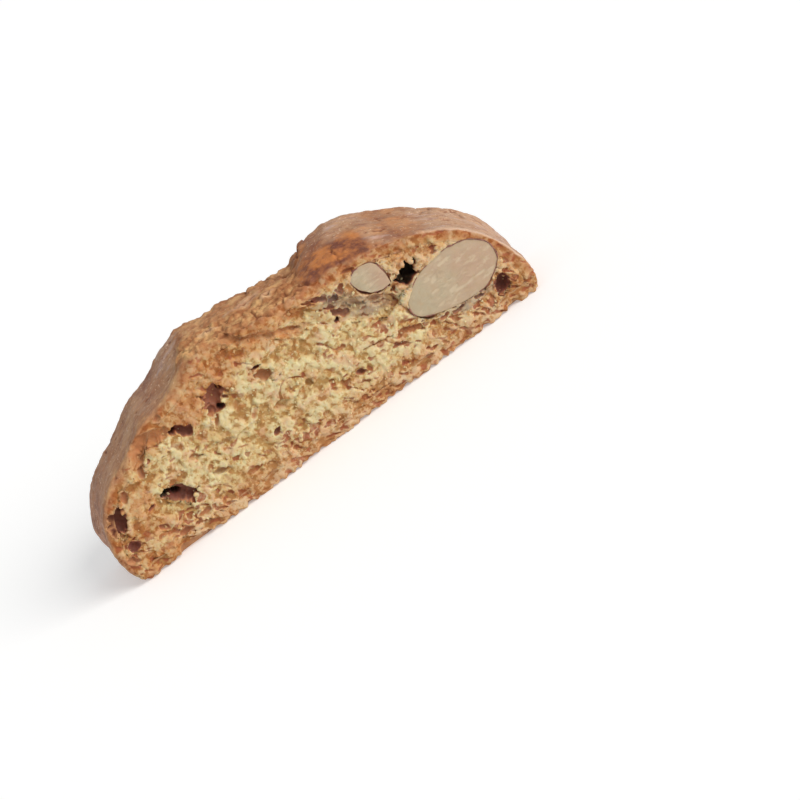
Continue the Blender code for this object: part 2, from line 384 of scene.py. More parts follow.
def shelves(points, size, layers, seed, edge):
    """Low ground, 0, and shelves with torn edges, 1, which are the larger part: layered noise
    cut a little below its middle."""
    return step(-edge, edge, ragged(points, size, layers, seed) + 0.12)


def lumps(points, size, layers, seed):
    """Rounded lumps parted by creases: layers of noise without its sign, each half as large
    and half as high as the one before."""
    return sum(np.abs(noise(points, size / 2**n, seed + n)) / 2**n for n in range(layers))


def patches(points, table, seed):
    """How far points lie within a table's patches, 0 to 1: ovals in the plane of the cut face,
    with wandering edges."""
    x, _, z = np.moveaxis(wandered(points, 2.5, 0.8, seed), -1, 0)
    share = np.zeros(x.shape)
    for centre_x, centre_z, long_reach, short_reach, tilt in table:
        out = oval_share(x - centre_x, z - centre_z, long_reach, short_reach, tilt)
        share = np.maximum(share, step(1.0, 0.5, out))
    return share


def crumb_relief(points, brown, look):
    """Height in mm of the broken crumb, how deep its pits are and how low its ground lies, both
    0 to 1: two sizes of torn shelves and rounded lumps on long swells, grain and slits. The
    slits lie flat and close together near the base and by the right end."""
    x, _, z = np.moveaxis(points, -1, 0)
    torn = wandered(wandered(points, 2.2, 0.6, 10), 0.9, 0.18, 14)
    tilted = turned(torn, CRUMB_LEAN)
    large = shelves(tilted / (1.25, 1.0, 1.0), look.shelf_size, 3, 20, 0.18)
    middle = shelves(torn, 0.55 * look.shelf_size, 2, 30, 0.18)
    small = unit(1.7 * lumps(torn, 0.55 * look.shelf_size, 2, 40))
    ground = (0.92 * large + 0.60 * middle + 0.33 * small) / 1.85
    ground = np.minimum(ground + 0.4 * patches(points, PALE_CLUMPS, 335), 1)
    height = look.swell * noise(points, 7.0, 60) + look.shelf_height * (1.85 * ground - 1.25)
    height = height + look.grain_height * (ragged(torn, 1.1, 2, 65) + 0.5 * flakes(torn, 1.1, 66))
    flat_zone = np.maximum(step(11, 5, z), step(10, 24, x) * step(18, 10, z))
    by_crust = brown * (0.2 + 0.4 * step(10, 16, x))
    grey = patches(points, SHADED_PATCHES, 330)
    crowded = 0.35 + 1.3 * noise(points, 6.0, 55) + 0.55 * flat_zone + 0.5 * grey + by_crust
    crowded = unit(crowded)
    slit = step(0.30, 0.46, noise(tilted, (2.0, 1.5, 0.9), 50))
    slit = np.maximum(slit, step(0.32, 0.48, noise(torn, (1.6, 1.4, 1.2), 51)))
    low_slit = step(0.23, 0.37, noise(turned(torn, -26), (1.7, 1.4, 0.9), 53))
    pit = unit(np.maximum(slit, low_slit * flat_zone) * crowded)
    height = (height - look.pit_depth * pit) * (1 - 0.4 * step(0.35, 0.75, brown))
    return height, pit, unit(1 - ground)


def crust_relief(points, look):
    """Height in mm of the dome's crust, with how torn, how pitted and how cracked it is, and
    where its flaps lie: a smooth left shoulder, a torn granular stretch, a raised blister."""
    x, y, z = np.moveaxis(points, -1, 0)
    torn = wandered(points, 2.2, 0.8, 110)
    wobble = 1.5 * noise(points, 4.5, 120) + 0.7 * noise(points, 1.7, 122)
    back_share = np.sin(math.pi / 2 * unit((y + SLICE.half) / 13))
    edge = x + 0.25 * wobble - 0.10 * (y + SLICE.half)
    rise = np.interp(edge, *BLISTER_RISE) * step(5, 14, z)
    bulge = 1.5 * step(-4, 8, y) * bell(z, 10, 5.5) * step(-40, -46, x)
    bulge = bulge + 1.2 * step(-3, 8, y) * bell(x, -19.5, 4.5) * step(16, 22, z)
    middle = step(*TORN_FROM, x + 2 * wobble) * (1 - step(*BLISTER_FROM, edge))
    scattered = 0.5 * step(0.16, 0.42, noise(torn, 8.0, 121)) * step(-12, 10, x) * step(30, 20, x)
    rough = unit(np.maximum(middle * (0.55 + 0.45 * step(4, -4, y)), scattered))
    first, second, _, _ = cells(torn, 9.0, 130)
    crack = (1 - step(0.01, 0.07, second - first)) * step(0.1, 0.4, noise(points, 12.0, 131))
    crack = crack * step(-12, -2, x)
    on_top = step(20, 26, z)
    tear_x, tear_y, _ = np.moveaxis(wandered(points, 1.6, 0.8, 133), -1, 0)
    flap = np.zeros(x.shape)
    for path, reach in CRUST_TEARS:
        away, _ = path_distance(tear_x, tear_y, path)
        crack = np.maximum(crack, step(1.3 * reach, 0.5 * reach, away) * on_top)
        flap = np.maximum(flap, step(4.0 * reach, 1.5 * reach, away) * on_top)
    frayed = wandered(points, 1.3, 0.4, 132)
    granules = 1.3 * (lumps(frayed, 3.2, 3, 140) - 0.3) + 0.35 * flakes(frayed, 1.5, 145)
    pit = step(0.36, 0.58, noise(torn, (1.5, 1.3, 1.3), 150)) * rough
    speck = step(0.50, 0.62, noise(points, 1.5, 160)) * (1 - rough)
    flow = wandered(points, 5.0, 1.6, 170)
    wrinkle = 0.5 - np.abs(noise(flow, (10.0, 1.5, 6.0), 171))
    wrinkle = wrinkle * step(-0.2, 0.3, noise(points, 8.0, 173)) * (0.5 + 0.5 * step(-12, 12, x))
    wrinkle = wrinkle * (1 + 0.8 * step(20, 26, x))
    sand = noise(points, 0.55, 172)
    swell = 0.40 * noise(points, 9.0, 180) + 0.20 * noise(torn, 3.6, 181)
    height = swell + rise * back_share + bulge - 0.9 * crack + 0.35 * flap
    height = height + rough * (look.lump_height * granules - 0.6 * pit)
    grit = noise(torn, 1.5, 174) + 0.6 * noise(torn, 0.8, 175)
    height = height + (1 - rough) * (0.22 * wrinkle + 0.03 * sand + 0.12 * grit - 0.25 * speck)
    return height, rough, unit(pit + speck), crack, flap


def sink_bowl(points, x, z, share, spread, depth, toward):
    """Push points into part of a ball round x and z: a point at share r of the way from the
    middle to the rim goes to the angle r times the spread on that ball, so that a wall whose
    spread is more than a right angle undercuts the rim. Returns how deep each point lies."""
    angle = unit(share) * spread
    within = share < 1
    out = np.sin(angle) / (np.sin(spread) * np.maximum(share, 1e-6))
    out = np.where(within, np.minimum(out, spread / np.sin(spread)), 1)
    deep = np.where(within, (np.cos(angle) - np.cos(spread)) / (1 - np.cos(spread)), 0)
    points[..., 0] = x + (points[..., 0] - x) * out
    points[..., 2] = z + (points[..., 2] - z) * out
    points[..., 1] -= toward * depth * deep
    return deep


def sink_holes(points, holes, toward):
    """Push a face's points into its holes, whose walls undercut the rim above and run out
    gently below. Returns the points, how dark the painted shade on the walls is, and how far
    inside they lie."""
    points = points.copy()
    dark = np.zeros(points.shape[:-1])
    inside = np.zeros(points.shape[:-1])
    jagged = 1.5 * noise(points, 1.5, 210) + 1.0 * noise(points, 0.75, 211)
    for x, z, half_length, half_width, depth, tilt, raggedness, darkness in holes:
        away_x, away_z = points[..., 0] - x, points[..., 2] - z
        share = oval_share(away_x, away_z, half_length, half_width, tilt)
        share = share / np.clip(1 + raggedness * jagged, 0.4, 1.6)
        upward = away_z / np.maximum(np.hypot(away_x, away_z), 1e-6)
        spread = 1.30 + 0.32 * step(-0.8, 0.4, upward)
        deep = sink_bowl(points, x, z, share, spread, depth, toward)
        # Painted shade on the wall, reaching higher up it the darker the hole
        dark = np.maximum(dark, darkness * step(0.0, 1.15 - 0.8 * darkness, deep))
        inside = np.maximum(inside, unit(deep * 2))
    return points, dark, inside


def sink_seats(points):
    """Push the front face's points into the hollows that the almonds fill: their outlines, a
    little larger, with gaps below. Returns the points, how dark the painted shade on the walls
    is, darkest in the gaps below, and how far inside they lie."""
    points = points.copy()
    dark = np.zeros(points.shape[:-1])
    inside = np.zeros(points.shape[:-1])
    for node in KERNEL_OUTLINES:
        rim = kernel_outline(node, KERNEL_SPOKES)
        x, z = rim.mean(0)
        turn = np.arctan2(rim[:, 1] - z, rim[:, 0] - x)
        reach = np.hypot(rim[:, 0] - x, rim[:, 1] - z)
        order = np.argsort(turn)
        away_x, away_z = points[..., 0] - x, points[..., 2] - z
        edge = np.interp(np.arctan2(away_z, away_x), turn[order], reach[order], period=2 * math.pi)
        below = step(0.1, -0.5, away_z / np.maximum(np.hypot(away_x, away_z), 1e-6))
        gap = 0.7 * below * step(0.0, 0.35, noise(points, 2.4, 216))
        edge = edge + 0.18 + 0.12 * noise(points, 1.3, 215) + gap
        share = np.hypot(away_x, away_z) / edge
        deep = sink_bowl(points, x, z, share, 1.5, SEAT_DEPTH, FRONT)
        # Painted shade on the seat's wall, darker below the almond where the gap lies
        dark = np.maximum(dark, (0.30 + 0.4 * below) * step(0.0, 0.5, deep))
        inside = np.maximum.reduce([inside, unit(deep * 2), 0.6 * step(1.12, 1.02, share)])
    return points, dark, inside


def path_distance(across, up, path):
    """Distance to the nearest of a path's straight runs, and how far to that run's left."""
    nearest = np.full(across.shape, 99.0)
    side = np.zeros(across.shape)
    for (x0, z0), (x1, z1) in zip(path, path[1:]):
        run_x, run_z = x1 - x0, z1 - z0
        t = ((across - x0) * run_x + (up - z0) * run_z) / (run_x**2 + run_z**2)
        t = unit(t)
        away_x, away_z = across - x0 - t * run_x, up - z0 - t * run_z
        distance = np.hypot(away_x, away_z)
        side = np.where(distance < nearest, run_x * away_z - run_z * away_x, side)
        nearest = np.minimum(nearest, distance)
    return nearest, side


def carve_grooves(points, grooves, toward):
    """Sink a face along paths. The depth falls off from the path like a half circle whose
    radius is the groove's reach on that side."""
    points = points.copy()
    dark = np.zeros(points.shape[:-1])
    torn = wandered(points, 1.2, 0.3, 220)
    x, _, z = np.moveaxis(torn, -1, 0)
    for path, left, right, depth, darkness in grooves:
        nearest, side = path_distance(x, z, path)
        reach = np.where(side > 0, left, right)
        deep = np.sqrt(unit(1 - (nearest / reach) ** 2))
        points[..., 1] -= toward * depth * deep**1.5
        # Painted shade along the groove's wall, darkest on its path
        dark = np.maximum(dark, darkness * deep)
    return points, dark


def crumble_base(points):
    """Wear the base's long edges: near them the surface is lifted and drawn inwards by bites
    of uneven size. The left foot's heel is the deepest."""
    points = points.copy()
    x, y, z = (points[..., axis].copy() for axis in range(3))
    for toward in (FRONT, BACK):
        line = np.stack([x, 0 * x, 0 * x + 3.0 * toward], -1)
        bite = 0.25 + 0.8 * noise(line, 3.4, 230) + 0.9 * noise(line, 1.1, 231)
        heel = bell(x, HEEL, np.where(x < HEEL, 1.6, 5.0))
        bite = np.clip(bite, 0, 1.2) + (1.7 * heel if toward == FRONT else 0)
        near = step(3.0, 0.2, SLICE.half - toward * y)
        points[..., 2] += bite * near * np.exp(-z / 1.4)
        points[..., 1] -= toward * 0.5 * bite * near * np.exp(-z / 1.8)
    return points


def grid_normals(points, closed_rows=False, closed_columns=False):
    """Unit normals of a grid of points, from the cross product of its two directions."""

    def slope(axis, closed):
        if closed:
            return np.roll(points, -1, axis) - np.roll(points, 1, axis)
        return np.gradient(points, axis=axis)

    normals = np.cross(slope(0, closed_rows), slope(1, closed_columns))
    return normals / np.maximum(np.linalg.norm(normals, axis=-1, keepdims=True), 1e-12)


def hollowness(height, reach):
    """How far each point of a grid lies below the average of the square of its neighbours up
    to reach steps away, 0 to 1 for 0 to 0.5 mm."""
    around = averaged(averaged(height, reach), reach, axis=1)
    return unit((around - height) / 0.5)


# ---- meshes


def grid_faces(rows, columns, closed_rows=False, closed_columns=False):
    """Quads of a grid whose points are numbered row by row."""
    i = np.arange(rows if closed_rows else rows - 1)[:, None]
    j = np.arange(columns if closed_columns else columns - 1)[None]
    down, right = (i + 1) % rows, (j + 1) % columns
    corners = (i * columns + j, i * columns + right, down * columns + right, down * columns + j)
    return np.stack(np.broadcast_arrays(*corners), -1).reshape(-1, 4)


def capped_faces(rows, columns):
    """Faces of rings that are numbered row by row, of which a point after the last closes the
    first ring, and one more the last ring."""
    j = np.arange(columns)
    onward = (j + 1) % columns
    count, last = rows * columns, (rows - 1) * columns
    first_cap = np.stack([np.full(columns, count), onward, j], -1)
    last_cap = np.stack([np.full(columns, count + 1), last + j, last + onward], -1)
    return grid_faces(rows, columns, closed_columns=True), first_cap, last_cap


def placed(name, data):
    """A new object of the scene that holds a mesh, a lamp or a camera."""
    made = bpy.data.objects.new(name, data)
    bpy.context.scene.collection.objects.link(made)
    return made


def new_piece(name, points, faces, material, fields, replaces=(), smooth=True):
    """Make a mesh piece at the origin from points in mm and lists of faces, give it its
    numbers per point, and fix it to the part's body."""
    mesh = bpy.data.meshes.new(name)
    points = np.ascontiguousarray(points.reshape(-1, 3) * MM, np.float32)
    loops = np.concatenate([np.asarray(group).ravel() for group in faces])
    sizes = np.concatenate([np.full(len(group), len(group[0])) for group in faces])
    mesh.vertices.add(len(points))
    mesh.vertices.foreach_set("co", points.ravel())
    mesh.loops.add(len(loops))
    mesh.loops.foreach_set("vertex_index", loops.astype(np.int32))
    mesh.polygons.add(len(sizes))
    mesh.polygons.foreach_set("loop_start", (np.cumsum(sizes) - sizes).astype(np.int32))
    mesh.update(calc_edges=True)
    mesh.validate()
    if smooth:
        mesh.shade_smooth()
    else:
        mesh.shade_flat()
    for field, values in fields.items():
        attribute = mesh.attributes.new(field, "FLOAT", "POINT")
        attribute.data.foreach_set("value", np.ascontiguousarray(values.ravel(), np.float32))
    mesh.materials.append(material)
    piece = placed(name, mesh)
    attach(piece, BODY)
    if replaces:
        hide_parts(*replaces)


# ---- crumb


def face_grid(columns, rows, inset):
    """A Coons patch over the cut face: v blends the base into the dome, u blends the left
    end into the right end, and the four corners' bilinear patch is taken away."""
    left_shoulder, right_shoulder = 0.115, SLICE.dome_share - 0.115
    places = {
        "top": np.linspace(left_shoulder, right_shoulder, columns),
        "base": np.linspace(1, SLICE.dome_share, columns),
        "left": np.linspace(0, left_shoulder, rows),
        "right": np.linspace(SLICE.dome_share, right_shoulder, rows),
    }
    edge = {side: SLICE.at(at) - inset * SLICE.outward(at) for side, at in places.items()}
    u = np.linspace(0, 1, columns)[None, :, None]
    v = np.linspace(0, 1, rows)[:, None, None]
    patch = (1 - v) * edge["base"][None] + v * edge["top"][None]
    patch = patch + (1 - u) * edge["left"][:, None] + u * edge["right"][:, None]
    corners = (1 - u) * ((1 - v) * edge["base"][0] + v * edge["top"][0])
    corners = corners + u * ((1 - v) * edge["base"][-1] + v * edge["top"][-1])
    return patch - corners


def browning(points, rim):
    """How far the oven has browned the cut, 0 for pale crumb to 1 for crust: a band along the
    outline, the thin left end, and a wide golden patch under the torn crust."""
    x, _, z = np.moveaxis(points, -1, 0)
    patchy = 0.9 * noise(points, 4.5, 300) + 0.6 * noise(points, 1.8, 301)
    band = np.exp(-np.clip(rim + 0.8 * patchy - 0.5, 0, None) / 2.2)
    band = band * (0.40 + 0.60 * step(1.0, 5.0, z + 1.5 * patchy))
    tip = 0.47 * step(-32, -39, x + 2.5 * patchy - 0.15 * (z - 10))
    lower_edge = 21.9 + 0.06 * (x + 28) - 2.6 * bell(x, -18, 8)
    upper = 0.62 * step(-0.6, 2.6, z - lower_edge + 1.3 * patchy)
    upper = upper * step(17, 12, x + 2 * patchy)
    base = (0.30 + 0.36 * step(-32, -40, x)) * step(4.5, 0.5, z + 1.2 * patchy)
    end = 0.38 * step(38, 44, x + 2 * patchy)
    brown = np.maximum.reduce([band, tip, upper, base, end])
    return unit(brown + 0.12 * patchy * (1 - brown))


def rosiness(points):
    """How rosy the crumb is, 0 to 1: along the base and in the right end."""
    x, _, z = np.moveaxis(points, -1, 0)
    by_base = 0.8 * step(7.5, 2.5, z) * step(-42, -34, x)
    return np.maximum(0.7 * step(24, 36, x) * step(15, 9, z), by_base)


def make_crumb(name, toward, holes, grooves, columns, rows, look, material):
    """One cut face as a closed slab: the face's grid, a side tucked under the crust, and a
    flat lid inside the slice. Returns the face's points, their normals, and how browned and
    how hollow they are."""
    flat = face_grid(columns, rows, look.tuck_inset)
    points = stood(flat, toward * SLICE.half)
    rim = SLICE.edge_distance(flat[..., 0], flat[..., 1])
    brown = browning(points, rim)
    points[..., 1] -= toward * 1.1 * step(2.8, 1.0, rim)
    points, groove_dark = carve_grooves(points, grooves, toward)
    points, dark, inside = sink_holes(points, holes, toward)
    rosy = rosiness(points)
    rosy = np.maximum(rosy, 0.9 * patches(points, ROSY_PATCHES, 340) * (toward == FRONT))
    if toward == FRONT:
        points, seat_dark, seated = sink_seats(points)
        dark = np.maximum(dark, seat_dark)
        inside = np.maximum(inside, seated)
        rosy = np.maximum(rosy, seated)
    points = crumble_base(points)
    normals = grid_normals(points)
    if (normals[..., 1].mean() > 0) != (toward > 0):
        normals = -normals
    height, pit, low = crumb_relief(points, brown, look)
    height = height * (1 - 0.65 * inside)
    points = points + normals * height[..., None]
    points[..., 2] = np.maximum(points[..., 2], CRUMB_FLOOR)

    ring = np.concatenate([
        np.arange(columns),
        np.arange(1, rows) * columns + columns - 1,
        np.arange(columns - 2, -1, -1) + (rows - 1) * columns,
        np.arange(rows - 2, 0, -1) * columns,
    ])
    border = points.reshape(-1, 3)[ring].copy()
    border[:, 1] = toward * LID_PLACE
    lid = rows * columns + np.arange(len(ring))
    sides = np.stack([ring, lid, np.roll(lid, -1), np.roll(ring, -1)], -1)
    faces = [grid_faces(rows, columns), sides, lid[None]]
    if toward > 0:
        faces = [group[:, ::-1] for group in faces]
    fill = np.zeros(len(ring))
    fields = {
        "brown": brown,
        # where the crumb takes grey painted shade
        "ash": patches(points, SHADED_PATCHES, 330) * (toward == FRONT),
        "rosy": rosy,
        # hollow, low, pit and dark drive painted shade in the material
        "hollow": hollowness(height, 5) * (1 - inside),
        "low": low * (1 - inside),
        "pit": pit * (1 - inside),
        "dark": np.maximum(dark, groove_dark),
    }
    fields = {field: np.concatenate([values.ravel(), fill]) for field, values in fields.items()}
    solid = np.vstack([points.reshape(-1, 3), border])
    new_piece(name, solid, faces, material, fields, ["dough"])
    return points, normals, brown, hollowness(height, 4)


# ---- crust


def band_section(places, look):
    """The crust band's closed section for every place along the outline, as depth under the
    outline and place across the slice: in over the front edge, which is rounded by an uneven
    radius, along the outside, round the back edge, and back along the inside."""
    spine = SLICE.at(places)
    half = SLICE.half
    turn = np.linspace(0, math.pi / 2, 12)[None]
    share = np.linspace(0, 1, 8)[None, :-1]
    columns = {}
    for toward in (FRONT, BACK):
        line = stood(spine, 7.0 * toward)
        radius = look.edge_radius * (1 + 0.55 * noise(line, 6.0, 240) + 0.3 * noise(line, 2.2, 241))
        radius = radius * (0.55 + 0.45 * step(2, 7, spine[:, 1])) * (1 - 0.6 * step(18, 28, spine[:, 0]))
        radius = radius[:, None]
        rim = CRUST_WALL + (radius - CRUST_WALL) * share
        dip = 0.35 * step(CRUST_WALL - 0.6, CRUST_WALL, rim)
        depth = np.hstack([rim, radius * (1 - np.sin(turn))])
        inward = np.hstack([dip, radius * (1 - np.cos(turn))])
        columns[toward] = depth, inward, radius
    outside = np.linspace(0, 1, 80)[None, 1:-1]
    start = -half + columns[FRONT][2]
    end = half - columns[BACK][2]
    inside = np.linspace(half - 1.2, -half + 1.2, 5)[None] + 0 * start
    depth = np.hstack([
        columns[FRONT][0], 0 * outside + 0 * start,
        columns[BACK][0][:, ::-1], 0 * inside + CRUST_WALL,
    ])
    across = np.hstack([
        columns[FRONT][1] - half, start + (end - start) * outside,
        half - columns[BACK][1][:, ::-1], inside,
    ])
    return depth, across


def bloom_and_sheen_share(points):
    """How far a pale lilac-grey lies on the crust, 0 to 1: painted sheen, a reflection of the sky, on
    the middle and the right part of the blister, and a paler tone of the crust beside the torn middle
    and on the upper half of the left shoulder."""
    x, y, z = np.moveaxis(points, -1, 0)
    patchy = noise(points, 5.0, 321)
    middle = 0.70 * step(19, 24, x + 3 * patchy) * step(33, 28, x + 3 * patchy)
    right = 0.75 * step(34, 40, x + 3 * patchy)
    beside = bell(x, -17.5, 5.0) * step(-5, 2, y) * step(0.0, 0.3, 0.2 + patchy)
    shoulder = 0.35 * step(-20, -26, x) * step(15, 21, z) * step(0.0, 0.3, 0.25 + patchy)
    return np.maximum.reduce([middle, right, beside, shoulder])


def roasting(points):
    """How deep an orange-brown the crust has taken, 0 to 1: the blister's left flank, the part
    of it that slopes towards the front, and a little of its crest."""
    x, y, z = np.moveaxis(points, -1, 0)
    patchy = noise(points, 5.0, 310) + 0.5 * noise(points, 2.0, 311)
    slope = step(2.0, -3.0, y + 3.0 * patchy) * step(31, 25, x + 3 * patchy)
    flank = 0.6 * step(19, 15, x + 2 * patchy)
    crest = 0.35 * step(28, 32, x + 2 * patchy) * step(38, 35, x + 2 * patchy)
    return np.maximum.reduce([slope, flank, crest]) * step(10.5, 12.5, x)


def make_crust(look, crumb_look, material):
    """The baked outside as a closed band: its section carried all the way round the outline."""
    dome_places = np.linspace(0, SLICE.dome_share, look.dome_columns, endpoint=False)
    base_places = np.linspace(SLICE.dome_share, 1, look.base_columns, endpoint=False)
    places = np.concatenate([dome_places, base_places])
    spine, outward = SLICE.at(places), SLICE.outward(places)
    depth, across = band_section(places, look)
    flat = spine[:, None] - depth[..., None] * outward[:, None]
    points = stood(flat, across)
    hidden = depth >= CRUST_WALL
    front_zone = step(*FRONT_ZONE, points[..., 1])[..., None]
    sunk, groove_dark = carve_grooves(points, FRONT_GROOVES, FRONT)
    sunk, dark, inside = sink_holes(sunk, FRONT_HOLES, FRONT)
    sunk, seat_dark, seated = sink_seats(sunk)
    points = points * (1 - front_zone) + sunk * front_zone
    # Painted wall shade of the front face's holes, grooves and seats, where they reach the crust
    dark = np.maximum.reduce([dark, groove_dark, seat_dark]) * front_zone[..., 0]
    inside = np.maximum(inside, seated) * front_zone[..., 0]
    brown = browning(points, depth)

    normals = grid_normals(points, True, True)
    outer = points.shape[1] // 2 - 10  # a column on the band's outside
    if (normals[:, outer, 2] * outward[:, 1]).sum() < 0:
        normals = -normals
    by_base = step(6.0, 2.0, points[..., 2])
    by_flank = step(10, 14, points[..., 0]) * step(24, 17, points[..., 0]) * step(-6, -9, points[..., 1])
    easy = np.maximum(by_base, 0.8 * by_flank)
    frayed = 0.25 * noise(points, 2.2, 245) + 0.15 * noise(points, 0.9, 246)
    cut = step(0.50 - 0.35 * easy, 0.95 - 0.40 * easy, np.abs(normals[..., 1]) + frayed)
    crumb_height, crumb_pit, low = crumb_relief(points, brown, crumb_look)
    crust_height, rough, crust_pit, crack, flap = crust_relief(points, look)
    rim = step(-8.6, -9.6, points[..., 1]) * step(34, 40, points[..., 0]) * step(3, 7, points[..., 2])
    base = step(2.5, 0.4, points[..., 2]) * (1 - cut)
    height = crumb_height * cut + crust_height * (1 - cut) * (1 - 0.9 * base)
    height = np.where(hidden, 0, height * (1 - 0.8 * inside))
    points = crumble_base(points + normals * height[..., None])
    points[..., 2] = np.maximum(points[..., 2], 0.0)
    fields = {
        "cut": cut,
        "rough": rough * (1 - cut),
        "roast": roasting(points) * (1 - cut),
        # where pale lilac-grey painted sheen lies on the blister, and a paler tone elsewhere
        "bloom": bloom_and_sheen_share(points) * (1 - cut),
        "shoulder": step(-12, -18, points[..., 0]) * step(26, 12, points[..., 2]) * (1 - cut),
        "verge": step(-4.0, -9.0, points[..., 1] + 8 * frayed) * step(6, -12, points[..., 0]),
        "flap": np.maximum(flap * (1 - crack), 1.3 * rim * (1 - 0.6 * cut)),
        # hollow, low, pit, crack and dark drive painted shade in the material
        "hollow": hollowness(height, 5) * (1 - inside),
        "low": low * cut * (1 - inside),
        "rosy": rosiness(points) * cut,
        "pit": (crumb_pit * cut + crust_pit * (1 - cut)) * (1 - inside),
        "crack": crack * (1 - cut),
        "dark": dark,
        "base": base,
        "brown": brown,
    }
    faces = grid_faces(*points.shape[:2], closed_rows=True, closed_columns=True)
    corner = points[0, outer]
    face_way = np.cross(points[1, outer] - corner, points[0, outer + 1] - corner)
    if face_way @ np.array([outward[0, 0], 0, outward[0, 1]]) > 0:
        faces = faces[:, ::-1]
    new_piece("crust", points, [faces], material, fields, ["dough"])


# ---- almonds


def kernel_outline(node, count):
    """An almond's cut outline against the clock: its measured corners, joined and rounded by
    averaging each place over its neighbours."""
    low, high = (np.array(corner)[[0, 2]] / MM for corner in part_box(node))
    corners = (low + high) / 2 + np.array(KERNEL_OUTLINES[node])[::-1] * (high - low) / 2
    loop = along(np.vstack([corners, corners[:1]]), np.linspace(0, 1, 720, endpoint=False))
    loop = averaged(loop, 14)
    return along(np.vstack([loop, loop[:1]]), np.linspace(0, 1, count, endpoint=False))


def make_flesh(node, look, material):
    """The sliced kernel as rings: from the middle of its cut face out to the rim, then round
    its buried side to a point at the back."""
    low, high = (np.array(corner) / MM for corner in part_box(node))
    rim = kernel_outline(node, KERNEL_SPOKES)
    centre = rim.mean(0)
    depth = high[1] - low[1]
    shares = np.concatenate([np.linspace(0.0, 0.97, 44), (0.985, 1.0)])[1:]
    back_angles = np.linspace(0.12, math.pi / 2 - 0.05, 14)
    ring_share = np.concatenate([shares, np.cos(back_angles)])
    ring_y = np.concatenate([
        low[1] - look.doming * (1 - shares**3), low[1] + 0.25 + (depth - 0.3) * np.sin(back_angles)
    ])
    flat = centre + ring_share[:, None, None] * (rim - centre)[None]
    points = stood(flat, ring_y[:, None])
    on_face = np.concatenate([1 - shares**10, 0 * back_angles])[:, None]
    ripple = 0.20 * noise(points, (5.0, 5.0, 2.2), 410)
    ripple = ripple + 0.14 * noise(wandered(points, 2.0, 0.6, 412), (2.4, 2.4, 0.6), 411)
    scrape = step(0.40, 0.55, noise(points, (2.4, 2.4, 0.9), 415))
    points[..., 1] += (ripple + 0.10 * scrape) * on_face
    poles = stood(centre, points[0, :, 1].mean()), stood(centre, ring_y[-1] + 0.02)
    edge = unit((ring_share - 0.7) / 0.3)[:, None] + 0 * scrape
    across = (points[..., 0] - low[0]) / (high[0] - low[0])
    fields = {
        "edge": np.append(edge, [0, 1]),
        "scrape": np.append(scrape * on_face, [0, 0]),
        "across": np.append(across, [0.5, 0.5]),
    }
    new_piece(
        f"{node}_flesh", np.vstack([points.reshape(-1, 3), *poles]),
        capped_faces(len(ring_y), KERNEL_SPOKES), material, fields, [node],
    )


def make_skin(node, look, material):
    """The kernel's papery skin, seen edge on: an uneven band round the rim, closed on itself,
    that thins out and sinks where it has come away."""
    low, high = (np.array(corner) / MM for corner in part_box(node))
    columns = 260
    around = np.linspace(0, 2 * math.pi, 12, endpoint=False)
    rim = kernel_outline(node, columns)
    outward = rim - rim.mean(0)
    outward /= np.linalg.norm(outward, axis=-1, keepdims=True)
    line = stood(rim, 0.0)
    thick = look.skin_thickness * (1 + 0.8 * noise(line, 1.7, 420))
    out = 0.08 + thick[:, None] * np.cos(around) + 0.16 * noise(line, 1.1, 421)[:, None]
    sunk = 0.80 + 0.9 * step(0.05, 0.4, noise(line, 3.0, 423) - 0.25 * outward.sum(1))
    across = low[1] + sunk[:, None] + 1.0 * np.sin(around) + 0.15 * noise(line, 1.1, 422)[:, None]
    flat = rim[:, None] + outward[:, None] * out[..., None]
    faces = grid_faces(columns, len(around), True, True)
    new_piece(f"{node}_skin", stood(flat, across), [faces], material, {})


# ---- loose crumbs


def ball_rings(rings, columns):
    """A unit ball as rings between two poles: points and triangles."""
    lift = np.linspace(-math.pi / 2, math.pi / 2, rings + 2)[1:-1]
    turn = np.linspace(0, 2 * math.pi, columns, endpoint=False)
    lift = lift[:, None]
    body = np.stack([
        np.cos(lift) * np.cos(turn), np.cos(lift) * np.sin(turn), np.sin(lift) + 0 * turn
    ], -1).reshape(-1, 3)
    points = np.vstack([body, [[0, 0, -1], [0, 0, 1]]])
    quads, low_cap, top_cap = capped_faces(rings, columns)
    return points, np.vstack([quads[:, [0, 1, 2]], quads[:, [0, 2, 3]], low_cap, top_cap])


def make_grains(name, seats, normals, tints, look, seed, material):
    """Small torn lumps of crumb, each a dented ball of its own size, turned at random and
    seated a little way into the surface."""
    random = np.random.default_rng(seed)
    count = len(seats)
    ball, faces = ball_rings(2, 5)
    size = look.smallest + (look.largest - look.smallest) * random.random(count) ** 2.5
    stretch = 0.6 + 0.8 * random.random((count, 1, 3))
    dents = 1 + 0.8 * (random.random((count, len(ball), 1)) - 0.5)
    turns = np.linalg.qr(random.normal(size=(count, 3, 3)))[0]
    turns *= np.linalg.det(turns)[:, None, None]
    crumbs = (ball[None] * dents * stretch) @ turns * (size / 2)[:, None, None]
    crumbs = crumbs + (seats - normals * (0.05 * size)[:, None])[:, None]
    all_faces = faces[None] + (np.arange(count) * len(ball))[:, None, None]
    own = random.random(count)
    fields = {"brown": np.repeat(tints, len(ball)), "own": np.repeat(own, len(ball))}
    faces = [all_faces.reshape(-1, 3)]
    new_piece(name, crumbs, faces, material, fields, smooth=False)


# ---- materials


def srgb(red, green, blue):
    """A colour given as 0 to 255 display values, as the linear colour that shaders take."""
    shares = np.array([red, green, blue]) / 255
    linear = np.where(shares > 0.04045, ((shares + 0.055) / 1.055) ** 2.4, shares / 12.92)
    return (*linear.tolist(), 1.0)


